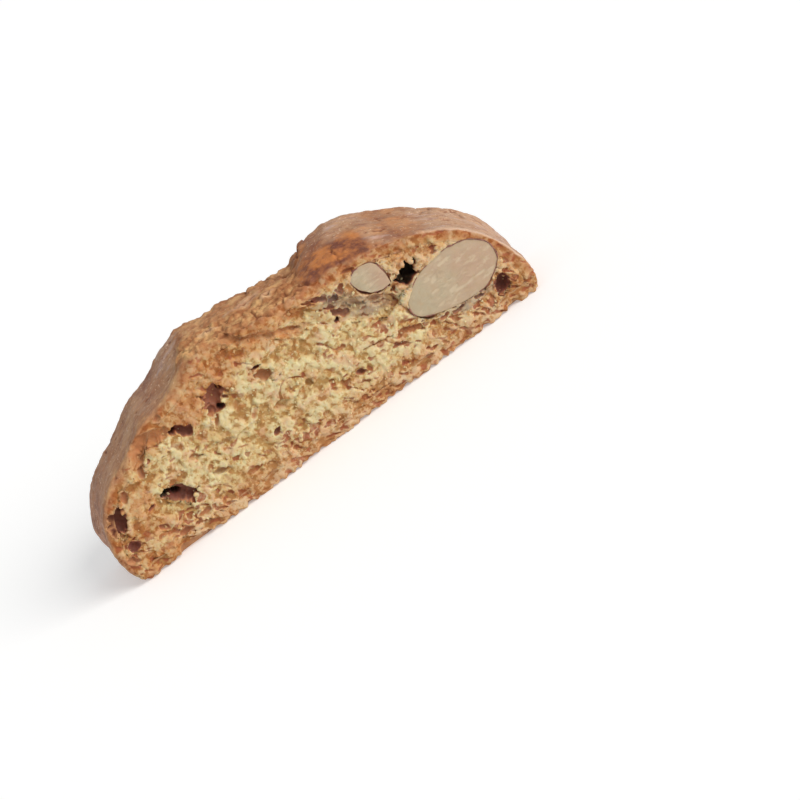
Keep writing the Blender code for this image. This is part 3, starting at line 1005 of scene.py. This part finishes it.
class Nodes:
    """Short calls for laying out a material's nodes from left to right."""

    def __init__(self, name):
        self.material = bpy.data.materials.new(name)
        self.material.use_nodes = True
        self.tree = self.material.node_tree
        self.shader = self.tree.nodes["Principled BSDF"]
        self.count = 0

    def add(self, kind, inputs=None, **settings):
        node = self.tree.nodes.new(kind)
        node.location = (-1600 + 170 * (self.count % 9), 500 - 220 * (self.count // 9))
        self.count += 1
        for name, value in settings.items():
            setattr(node, name, value)
        for name, value in (inputs or {}).items():
            self.feed(node.inputs[name], value)
        return node

    def feed(self, socket, value):
        """Give a socket a value, another node's output, or the mesh's numbers of that name."""
        if isinstance(value, str):
            value = self.add("ShaderNodeAttribute", attribute_name=value).outputs["Fac"]
        if isinstance(value, bpy.types.NodeSocket):
            self.tree.links.new(value, socket)
        else:
            socket.default_value = value

    def surface(self, **inputs):
        """Set the shader's sockets, given with underscores for the spaces in their names."""
        for name, value in inputs.items():
            self.feed(self.shader.inputs[name.replace("_", " ")], value)

    def noise(self, grain_mm, detail=3.0, rough=0.55, stretch=None):
        place = self.add("ShaderNodeTexCoord").outputs["Object"]
        if stretch:
            place = self.add("ShaderNodeMapping", {"Vector": place, "Scale": stretch}).outputs[0]
        inputs = {"Vector": place, "Scale": 1 / (grain_mm * MM), "Detail": detail, "Roughness": rough}
        return self.add("ShaderNodeTexNoise", inputs).outputs["Fac"]

    def math(self, operation, a, b):
        return self.add("ShaderNodeMath", {0: a, 1: b}, operation=operation).outputs[0]

    def times(self, a, b):
        return self.math("MULTIPLY", a, b)

    def plus(self, a, b):
        return self.math("ADD", a, b)

    def remap(self, value, low, high, to_low=0.0, to_high=1.0):
        inputs = {
            "Value": value, "From Min": low, "From Max": high, "To Min": to_low, "To Max": to_high,
        }
        return self.add("ShaderNodeMapRange", inputs, interpolation_type="SMOOTHSTEP").outputs[0]

    def mix(self, share, a, b, blend="MIX"):
        node = self.add("ShaderNodeMix", data_type="RGBA", blend_type=blend)
        for name, value in {"Factor": share, "A": a, "B": b}.items():
            self.feed(node.inputs[name], value)
        return node.outputs["Result"]

    def ramp(self, value, stops):
        node = self.add("ShaderNodeValToRGB", {"Fac": value})
        ramp = node.color_ramp
        for position, colour in stops[1:-1]:
            ramp.elements.new(position)
        for element, (position, colour) in zip(ramp.elements, stops):
            element.position = position
            element.color = colour
        return node.outputs["Color"]

    def bump(self, height, depth_mm, strength=1.0):
        inputs = {"Height": height, "Distance": depth_mm * MM, "Strength": strength}
        return self.add("ShaderNodeBump", inputs).outputs["Normal"]


def crumb_stops(look):
    return ((0.0, look.pale), (0.30, look.tan), (0.62, look.golden), (1.0, look.brown))


def crumb_colour(nodes, look):
    """Pale yellow crumb that browns towards the crust, with painted shade that darkens and warms it in
    its creases, low ground and hole walls, and red-brown pits that are partly painted shade.
    """
    shade = nodes.plus("brown", nodes.remap(nodes.noise(2.4), 0.3, 0.7, -0.14, 0.20))
    colour = nodes.ramp(shade, crumb_stops(look))
    pale = nodes.remap("brown", 0.2, 0.7, 1.0, 0.35)
    light = nodes.times(nodes.remap(nodes.noise(2.2, 4.0), 0.47, 0.60, 0, 0.7), pale)
    colour = nodes.mix(light, colour, look.fleck)
    blush = nodes.remap(nodes.noise(2.9, 4.0), 0.52, 0.62, 0, 0.6)
    blush = nodes.math("MAXIMUM", blush, nodes.times("rosy", 0.7))
    blush = nodes.times(blush, pale)
    colour = nodes.mix(blush, colour, look.blush)
    # Grey painted shade in the recesses round the almonds, mottled by noise
    ash = nodes.times("ash", nodes.remap(nodes.noise(1.8), 0.35, 0.6, 0.25, 0.9))
    colour = nodes.mix(ash, colour, look.ash)
    # Painted shade: the colour is multiplied darker and warmer in the low ground, in hollows and in the
    # dips of the finest tufts, whose noise also drives the bump
    sunk = nodes.plus("low", nodes.remap("hollow", 0.1, 0.8, 0, 0.4))
    sunk = nodes.plus(sunk, nodes.remap(nodes.noise(*TUFT), 0.58, 0.32, -0.15, 0.75))
    shading = nodes.ramp(sunk, ((0.12, WHITE), (0.50, look.low_shade), (1.0, look.lowest_shade)))
    colour = nodes.mix(1.0, colour, shading, "MULTIPLY")
    # The pits' red-brown: partly their own colour, partly painted shade inside them
    pit = nodes.remap("pit", 0.15, 0.80, 0, 0.85)
    pit = nodes.times(pit, nodes.remap(nodes.noise(1.3), 0.32, 0.60, 0.5, 1.0))
    colour = nodes.mix(pit, colour, look.pit)
    # Painted shade on the walls of holes, grooves and seats: the walls' own browner colour where the shade
    # is light, to near black in the deepest holes
    wall_stops = (
        (0.15, look.wall_light), (0.50, look.wall_mid),
        (0.75, look.wall_deep), (1.00, look.wall_black),
    )
    wall = nodes.ramp("dark", wall_stops)
    colour = nodes.mix(nodes.remap("dark", 0.02, 0.30, 0, 0.92), colour, wall)
    # More of the grey painted shade, laid over everything else in those patches
    return nodes.mix(nodes.times("ash", 0.35), colour, look.ash)


def crumb_material(look):
    nodes = Nodes("crumb")
    nodes.surface(
        Base_Color=crumb_colour(nodes, look),
        Roughness=nodes.remap(nodes.noise(0.7), 0.3, 0.7, 0.7, 0.95),
        Specular_IOR_Level=0.2,
        Subsurface_Weight=0.6,
        Subsurface_Radius=(1.0, 0.6, 0.3),
        Subsurface_Scale=1.2 * MM,
        Normal=nodes.bump(nodes.noise(*TUFT), look.tuft_height, 0.9),
    )
    return nodes.material


def crust_material(look, crumb_look):
    nodes = Nodes("crust")
    crumb = crumb_colour(nodes, crumb_look)
    blotches = nodes.noise(10.0, 4.0, 0.6)
    plate = nodes.ramp(blotches, ((0.32, look.plate_dark), (0.50, look.plate), (0.68, look.plate_light)))
    mottled = nodes.ramp(nodes.noise(3.0, 3.0, 0.6), ((0.34, look.plate_dark), (0.62, look.shoulder)))
    plate = nodes.mix(nodes.times("shoulder", 0.85), plate, mottled)
    # Pale lilac-grey: painted sheen on the blister, and a paler tone beside the torn middle and on the
    # shoulder
    plate = nodes.mix("bloom", plate, look.bloom)
    # Painted highlights: thin lilac streaks along the wrinkles, where the sheen lies
    streak = nodes.remap(nodes.noise(2.0, 4.0, 0.65, stretch=(0.2, 1.0, 0.3)), 0.50, 0.66)
    streak = nodes.times(streak, nodes.remap("bloom", 0.25, 0.6, 0, 0.8))
    plate = nodes.mix(streak, plate, look.streak)
    grained = nodes.remap(nodes.noise(1.7, 5.0, 0.7, stretch=(0.35, 1.0, 0.6)), 0.50, 0.36, 0, 0.55)
    grained = nodes.times(grained, nodes.remap("shoulder", 0, 1, 1, 0))
    plate = nodes.mix(grained, plate, look.plate_dark)
    freckle = nodes.remap(nodes.noise(0.6, 2.0), 0.62, 0.68, 0, 0.8)
    plate = nodes.mix(freckle, plate, look.freckle)
    torn = nodes.ramp(nodes.noise(2.6, 5.0, 0.65), (
        (0.36, look.torn_dark), (0.50, look.torn), (0.62, look.torn_light),
    ))
    plate = nodes.mix("roast", plate, nodes.ramp(nodes.noise(3.4, 4.0, 0.6), (
        (0.38, look.roast_dark), (0.58, look.roast),
    )))
    skin = nodes.mix("rough", plate, torn)
    skin = nodes.mix(nodes.times("verge", 0.6), skin, torn)
    skin = nodes.mix(nodes.times("flap", 0.35), skin, look.freckle)
    # Painted shade: darker in the crust's hollows
    skin = nodes.mix(nodes.remap("hollow", 0.08, 0.8, 0, 0.5), skin, look.crease)
    # The crust's pits and cracks: their own darker brown, deepened by painted shade
    sunk = nodes.math("MAXIMUM", "pit", "crack")
    skin = nodes.mix(nodes.times(sunk, 0.6), skin, look.pit)
    under = nodes.ramp(nodes.noise(3.0, 4.0, 0.6), ((0.32, look.under_dark), (0.68, look.under)))
    skin = nodes.mix("base", skin, under)
    gloss = nodes.plus(nodes.remap(nodes.noise(1.0), 0.3, 0.7, 0.46, 0.66), "rough")
    nodes.surface(
        Base_Color=nodes.mix("cut", skin, crumb),
        Roughness=nodes.math("MINIMUM", nodes.plus(gloss, "cut"), 0.9),
        Specular_IOR_Level=0.25,
        Subsurface_Weight=0.05,
        Subsurface_Radius=(1.0, 0.5, 0.25),
        Subsurface_Scale=0.6 * MM,
        Normal=nodes.bump(nodes.noise(0.9, 5.0, 0.7), 0.22, 0.8),
    )
    return nodes.material


def grain_material(look):
    nodes = Nodes("loose_crumb")
    shade = nodes.plus("brown", nodes.remap("own", 0, 1, -0.15, 0.15))
    nodes.surface(
        Base_Color=nodes.ramp(shade, crumb_stops(look)),
        Roughness=0.85,
        Specular_IOR_Level=0.3,
        Subsurface_Weight=0.10,
        Subsurface_Radius=(1.0, 0.6, 0.3),
        Subsurface_Scale=0.7 * MM,
    )
    return nodes.material


def flesh_material(look):
    nodes = Nodes("kernel")
    tone = nodes.plus("across", nodes.remap(nodes.noise(5.0), 0.3, 0.7, -0.25, 0.25))
    colour = nodes.ramp(tone, ((0.15, look.flesh_grey), (0.50, look.flesh), (0.85, look.flesh_warm)))
    smear = nodes.noise(1.6, 4.0, 0.65, stretch=(0.5, 1.0, 1.4))
    colour = nodes.mix(nodes.remap(smear, 0.52, 0.68, 0, 0.6), colour, look.flesh_pale)
    colour = nodes.mix(nodes.remap(nodes.noise(1.3, 4.0, 0.65), 0.50, 0.34, 0, 0.5), colour, look.flesh_rim)
    colour = nodes.mix(nodes.times("scrape", 0.7), colour, look.flesh_pale)
    colour = nodes.mix(nodes.remap("edge", 0.6, 1.0, 0, 0.4), colour, look.flesh_rim)
    nodes.surface(
        Base_Color=colour,
        Roughness=nodes.remap(nodes.noise(1.1), 0.3, 0.7, 0.38, 0.6),
        Subsurface_Weight=0.2,
        Subsurface_Radius=(1.0, 0.8, 0.5),
        Subsurface_Scale=1.0 * MM,
        Normal=nodes.bump(nodes.noise(0.6, 3.0), 0.10, 0.8),
    )
    return nodes.material


def skin_material(look):
    nodes = Nodes("kernel_skin")
    colour = nodes.ramp(nodes.noise(0.8, 3.0), ((0.35, look.skin_dark), (0.70, look.skin)))
    nodes.surface(Base_Color=colour, Roughness=0.7)
    return nodes.material


# ---- stage


def aim(obj, eye, target, up_hint):
    """Turn a camera or lamp so that its -Z looks from eye at target with up_hint upwards."""
    back = (eye - target) / np.linalg.norm(eye - target)
    right = np.cross(up_hint, back)
    right /= np.linalg.norm(right)
    pose = np.eye(4)
    pose[:3, :3] = np.stack([right, np.cross(back, right), back], -1)
    pose[:3, 3] = eye
    obj.matrix_world = Matrix(pose.tolist())


def view_axes(rise, roll):
    """The camera's right, up and backward directions: it stands square to the cut face,
    raised by rise and rolled by roll so that the slice leans up to the right."""
    backward = np.array([0, -math.cos(rise), math.sin(rise)])
    level_right = np.array([1.0, 0, 0])
    level_up = np.array([0, math.sin(rise), math.cos(rise)])
    right = math.cos(roll) * level_right - math.sin(roll) * level_up
    up = math.sin(roll) * level_right + math.cos(roll) * level_up
    return right, up, backward


def make_camera(look):
    """A camera that looks at the middle of the front face's base, shifted aside and above."""
    target = np.array([0, -SLICE.half * MM, 0])
    right, up, backward = view_axes(look.rise, look.roll)
    frame_width = look.frame_share * SLICE.length * MM
    distance = look.distance_share * SLICE.length * MM
    middle = target + frame_width * (look.aside * right + look.above * up)
    data = bpy.data.cameras.new("camera")
    camera = placed("camera", data)
    data.lens = data.sensor_width * distance / frame_width
    data.clip_start = 0.01
    aim(camera, middle + distance * backward, middle, up)
    bpy.context.scene.camera = camera


def make_lights(look):
    lamp = bpy.data.lights.new("key", "SUN")
    lamp.energy = look.key
    lamp.angle = look.key_spread
    lamp.color = look.key_colour[:3]
    aim(placed("key", lamp), np.array(look.key_from), np.zeros(3), (0.1, 0.2, 1.0))
    world = bpy.data.worlds.new("studio")
    bpy.context.scene.world = world
    world.use_nodes = True
    background = world.node_tree.nodes["Background"]
    background.inputs["Color"].default_value = (1.0, 1.0, 1.0, 1)
    background.inputs["Strength"].default_value = look.fill


def make_floor(look):
    turn = np.linspace(0, 2 * math.pi, 96, endpoint=False)
    rim = FLOOR_RADIUS * np.stack([np.cos(turn), np.sin(turn), 0 * turn], -1)
    mesh = bpy.data.meshes.new("floor")
    mesh.from_pydata(rim.tolist(), [], [list(range(len(turn)))])
    floor = placed("floor", mesh)
    nodes = Nodes("pale_floor")
    nodes.surface(
        Base_Color=look.floor, Roughness=0.9, Specular_IOR_Level=0.1,
        Emission_Color=(1.0, 1.0, 1.0, 1.0), Emission_Strength=look.floor_glow,
    )
    mesh.materials.append(nodes.material)


# ---- settings


def with_colours(**table):
    """Give a group of settings a colour for each row of a table of display values."""

    def add_to(group):
        for name, values in table.items():
            label = name.replace("_", " ").capitalize()
            group.__annotations__[name] = FloatVectorProperty(
                name=label, description=f"{label} colour", subtype="COLOR", size=4, min=0, max=1,
                default=srgb(*values),
            )
        return group

    return add_to


def number(name, description, default, **limits):
    return FloatProperty(name=name, description=description, default=default, **limits)


@with_colours(
    pale=(203, 188, 146), tan=(195, 162, 116), golden=(184, 134, 88), brown=(166, 109, 71),
    # Of the next row, the last colour is the grey of painted shade in the recesses round the almonds
    fleck=(203, 192, 152), blush=(198, 160, 129), ash=(164, 146, 124),
    # The next row's shade colours are painted shade in the crumb's low ground and hollows; its pit colour
    # is the pits' own red-brown with painted shade in them
    low_shade=(243, 231, 214), lowest_shade=(208, 174, 138), pit=(150, 80, 54),
    # The next row's wall colours are painted shade on the walls of holes, grooves and seats, from the
    # walls' own browner colour to near black
    wall_light=(184, 126, 80), wall_mid=(158, 98, 74), wall_deep=(110, 52, 46),
    wall_black=(22, 7, 6),
)
class BiscottiCrumb(bpy.types.PropertyGroup):
    columns: IntProperty(name="Columns", description="Grid points along a cut face", default=500)
    rows: IntProperty(name="Rows", description="Grid points up a cut face", default=165)
    tuck_inset: number("Inset", "Distance of the slab's edge from the outline, in mm", 0.7)
    swell: number("Swell", "Height of the long waves, in mm", 0.45)
    shelf_size: number("Shelf size", "Pitch of the largest torn shelves, in mm", 5.0)
    shelf_height: number("Shelf height", "Height of the largest shelves, in mm", 0.50)
    grain_height: number("Grain height", "Height of the soft grain, in mm", 0.13)
    tuft_height: number("Tuft height", "Height of the finest tufts, in mm", 0.18)
    pit_depth: number("Pit depth", "Depth of the torn pits, in mm", 0.40)


@with_colours(
    plate_dark=(138, 87, 65), plate=(172, 126, 92), plate_light=(195, 151, 112),
    # Of the next row, the pale lilac-grey is painted sheen on the blister and a paler tone elsewhere, and
    # the streak colour is painted highlight
    shoulder=(194, 138, 103), bloom=(183, 145, 116), streak=(190, 162, 150),
    roast=(188, 119, 66), roast_dark=(114, 66, 50), freckle=(220, 188, 160),
    torn_dark=(154, 98, 60), torn=(178, 126, 83), torn_light=(208, 164, 112),
    # The next row's crease colour is painted shade in the crust's hollows; its pit colour is the pits' and
    # cracks' own darker brown with painted shade in them
    crease=(142, 86, 56), pit=(104, 54, 38), under=(186, 138, 96), under_dark=(150, 98, 64),
)
class BiscottiCrust(bpy.types.PropertyGroup):
    dome_columns: IntProperty(name="Dome", description="Sections over the dome", default=540)
    base_columns: IntProperty(name="Base", description="Sections along the base", default=230)
    edge_radius: number("Edge radius", "Rounding of the crust's cut edges, in mm", 1.7)
    lump_height: number("Lump height", "Height of the torn crust's lumps", 1.0)


@with_colours(
    flesh_grey=(168, 153, 126), flesh=(172, 151, 125), flesh_warm=(172, 144, 119),
    flesh_pale=(190, 172, 144), flesh_rim=(170, 146, 114), skin=(156, 106, 88),
    skin_dark=(112, 68, 60),
)
class BiscottiAlmond(bpy.types.PropertyGroup):
    doming: number("Doming", "How far the cut face stands proud in the middle, in mm", 0.2)
    skin_thickness: number("Skin thickness", "Half the width of the skin's cut edge, in mm", 0.22)


class BiscottiGrains(bpy.types.PropertyGroup):
    count: IntProperty(name="Count", description="Loose crumbs on each cut face", default=700)
    smallest: number("Smallest", "Size of the smallest crumbs, in mm", 0.3)
    largest: number("Largest", "Size of the largest crumbs, in mm", 0.7)


@with_colours(key_colour=(255, 252, 247), floor=(238, 239, 240))
class BiscottiStage(bpy.types.PropertyGroup):
    rise: number("Rise", "How far the camera looks down", 19.5 * DEGREE, subtype="ANGLE")
    roll: number("Roll", "How far the camera is rolled", 37 * DEGREE, subtype="ANGLE")
    frame_share: number("Frame width", "Width of the picture, in slice lengths", 1.575)
    distance_share: number("Distance", "Distance of the camera, in slice lengths", 6.42)
    aside: number("Aside", "How far the slice sits left of the middle, in picture widths", 0.0729)
    above: number("Above", "How far the slice sits below the middle, in picture widths", 0.047)
    key: number("Key light", "Strength of the sun", 2.53)
    key_spread: number("Key spread", "Angle that the sun fills", 36 * DEGREE, subtype="ANGLE")
    key_from: FloatVectorProperty(
        name="Key direction", description="Where the sun stands", default=(0.62, -0.62, 0.46)
    )
    fill: number("Fill", "Strength of the sky", 0.5)
    floor_glow: number("Floor glow", "Light that the floor gives off", 0.27)


class BiscottiSettings(bpy.types.PropertyGroup):
    crumb: PointerProperty(type=BiscottiCrumb)
    crust: PointerProperty(type=BiscottiCrust)
    almond: PointerProperty(type=BiscottiAlmond)
    grains: PointerProperty(type=BiscottiGrains)
    stage: PointerProperty(type=BiscottiStage)


# ---- operators


def shared_material(name, make, *looks):
    """The named material, made the first time that a piece asks for it."""
    return bpy.data.materials.get(name) or make(*looks)


def scatter_back_holes():
    """Holes of the back face, which is a cut like the front: mostly small, none at the rim."""
    random = np.random.default_rng(BACK_HOLE_SEED)
    x = (random.random(400) - 0.5) * 0.92 * SLICE.length
    z = random.random(400) * 0.88 * SLICE.height
    inner = SLICE.edge_distance(x, z) > 2.2
    inner &= (np.abs(x) < 0.5 * SLICE.length) & (z < 0.9 * SLICE.height * (1 - (2 * x / SLICE.length) ** 4))
    x, z = x[inner][:BACK_HOLES], z[inner][:BACK_HOLES]
    size = 0.6 + 1.9 * random.random(len(x)) ** 2.5
    width = size * (0.4 + 0.4 * random.random(len(x)))
    tilt = 60 * (random.random(len(x)) - 0.5)
    # How dark the painted shade on each hole's wall is
    dark = 0.3 + 0.5 * random.random(len(x))
    return list(zip(x, z, size, width, size * 0.9, tilt, 0.35 + 0 * size, dark))


def build_face(name, toward, holes, grooves, detail, look, seed):
    """One crumb slab with its loose crumbs, which sit on what stands out of the face. detail
    is the share of the grid's columns and rows that the face gets."""
    crumb = shared_material("crumb", crumb_material, look.crumb)
    columns, rows = int(look.crumb.columns * detail), int(look.crumb.rows * detail)
    points, normals, brown, hollow = make_crumb(
        name, toward, holes, grooves, columns, rows, look.crumb, crumb
    )
    loose = shared_material("loose_crumb", grain_material, look.crumb)
    random = np.random.default_rng(seed)
    spots = random.integers(0, brown.size, look.grains.count)
    spots = spots[hollow.ravel()[spots] < OPEN_GROUND]
    seats, ways = (field.reshape(-1, 3)[spots] for field in (points, normals))
    grains = name.replace("crumb", "grains")
    make_grains(grains, seats, ways, brown.ravel()[spots], look.grains, seed + 1, loose)


class BuildStep:
    """What the operators of all build steps share."""

    def execute(self, context):
        self.build(context.scene.biscotti)
        return {"FINISHED"}


class BISCOTTI_OT_crumb_front(BuildStep, bpy.types.Operator):
    """Build the cut face that shows the almonds, with its loose crumbs"""

    bl_idname = "biscotti.crumb_front"
    bl_label = "Front Crumb"

    def build(self, look):
        build_face("crumb_front", FRONT, FRONT_HOLES, FRONT_GROOVES, 1, look, 7)


class BISCOTTI_OT_crumb_back(BuildStep, bpy.types.Operator):
    """Build the cut face on the other side, with its loose crumbs"""

    bl_idname = "biscotti.crumb_back"
    bl_label = "Back Crumb"

    def build(self, look):
        build_face("crumb_back", BACK, scatter_back_holes(), (), 0.85, look, 17)


class BISCOTTI_OT_crust(BuildStep, bpy.types.Operator):
    """Build the baked outside, from the base over the dome"""

    bl_idname = "biscotti.crust"
    bl_label = "Crust"

    def build(self, look):
        material = shared_material("crust", crust_material, look.crust, look.crumb)
        make_crust(look.crust, look.crumb, material)


class BISCOTTI_OT_almonds(BuildStep, bpy.types.Operator):
    """Build the two sliced almonds and their skins"""

    bl_idname = "biscotti.almonds"
    bl_label = "Almonds"

    def build(self, look):
        flesh = shared_material("kernel", flesh_material, look.almond)
        skin = shared_material("kernel_skin", skin_material, look.almond)
        for node in KERNEL_OUTLINES:
            make_flesh(node, look.almond, flesh)
            make_skin(node, look.almond, skin)


class BISCOTTI_OT_stage(BuildStep, bpy.types.Operator):
    """Set up the floor, the lights and the camera"""

    bl_idname = "biscotti.stage"
    bl_label = "Stage"

    def build(self, look):
        make_floor(look.stage)
        make_lights(look.stage)
        make_camera(look.stage)
        bpy.context.scene.view_settings.view_transform = "Standard"


OPERATORS = (
    BISCOTTI_OT_crumb_front, BISCOTTI_OT_crumb_back, BISCOTTI_OT_crust, BISCOTTI_OT_almonds,
    BISCOTTI_OT_stage,
)


class BISCOTTI_PT_panel(bpy.types.Panel):
    """The biscotti's build steps"""

    bl_idname = "BISCOTTI_PT_panel"
    bl_label = "Biscotti"
    bl_space_type = "VIEW_3D"
    bl_region_type = "UI"
    bl_category = "Biscotti"

    def draw(self, context):
        for operator in OPERATORS:
            self.layout.operator(operator.bl_idname)


CLASSES = (
    BiscottiCrumb, BiscottiCrust, BiscottiAlmond, BiscottiGrains, BiscottiStage,
    BiscottiSettings, *OPERATORS, BISCOTTI_PT_panel,
)


def register():
    for cls in CLASSES:
        bpy.utils.register_class(cls)
    bpy.types.Scene.biscotti = PointerProperty(type=BiscottiSettings)


def unregister():
    del bpy.types.Scene.biscotti
    for cls in reversed(CLASSES):
        bpy.utils.unregister_class(cls)


def main():
    register()
    bpy.ops.biscotti.crumb_front()
    bpy.ops.biscotti.crumb_back()
    bpy.ops.biscotti.crust()
    bpy.ops.biscotti.almonds()
    bpy.ops.biscotti.stage()


if __name__ == "__main__":
    main()
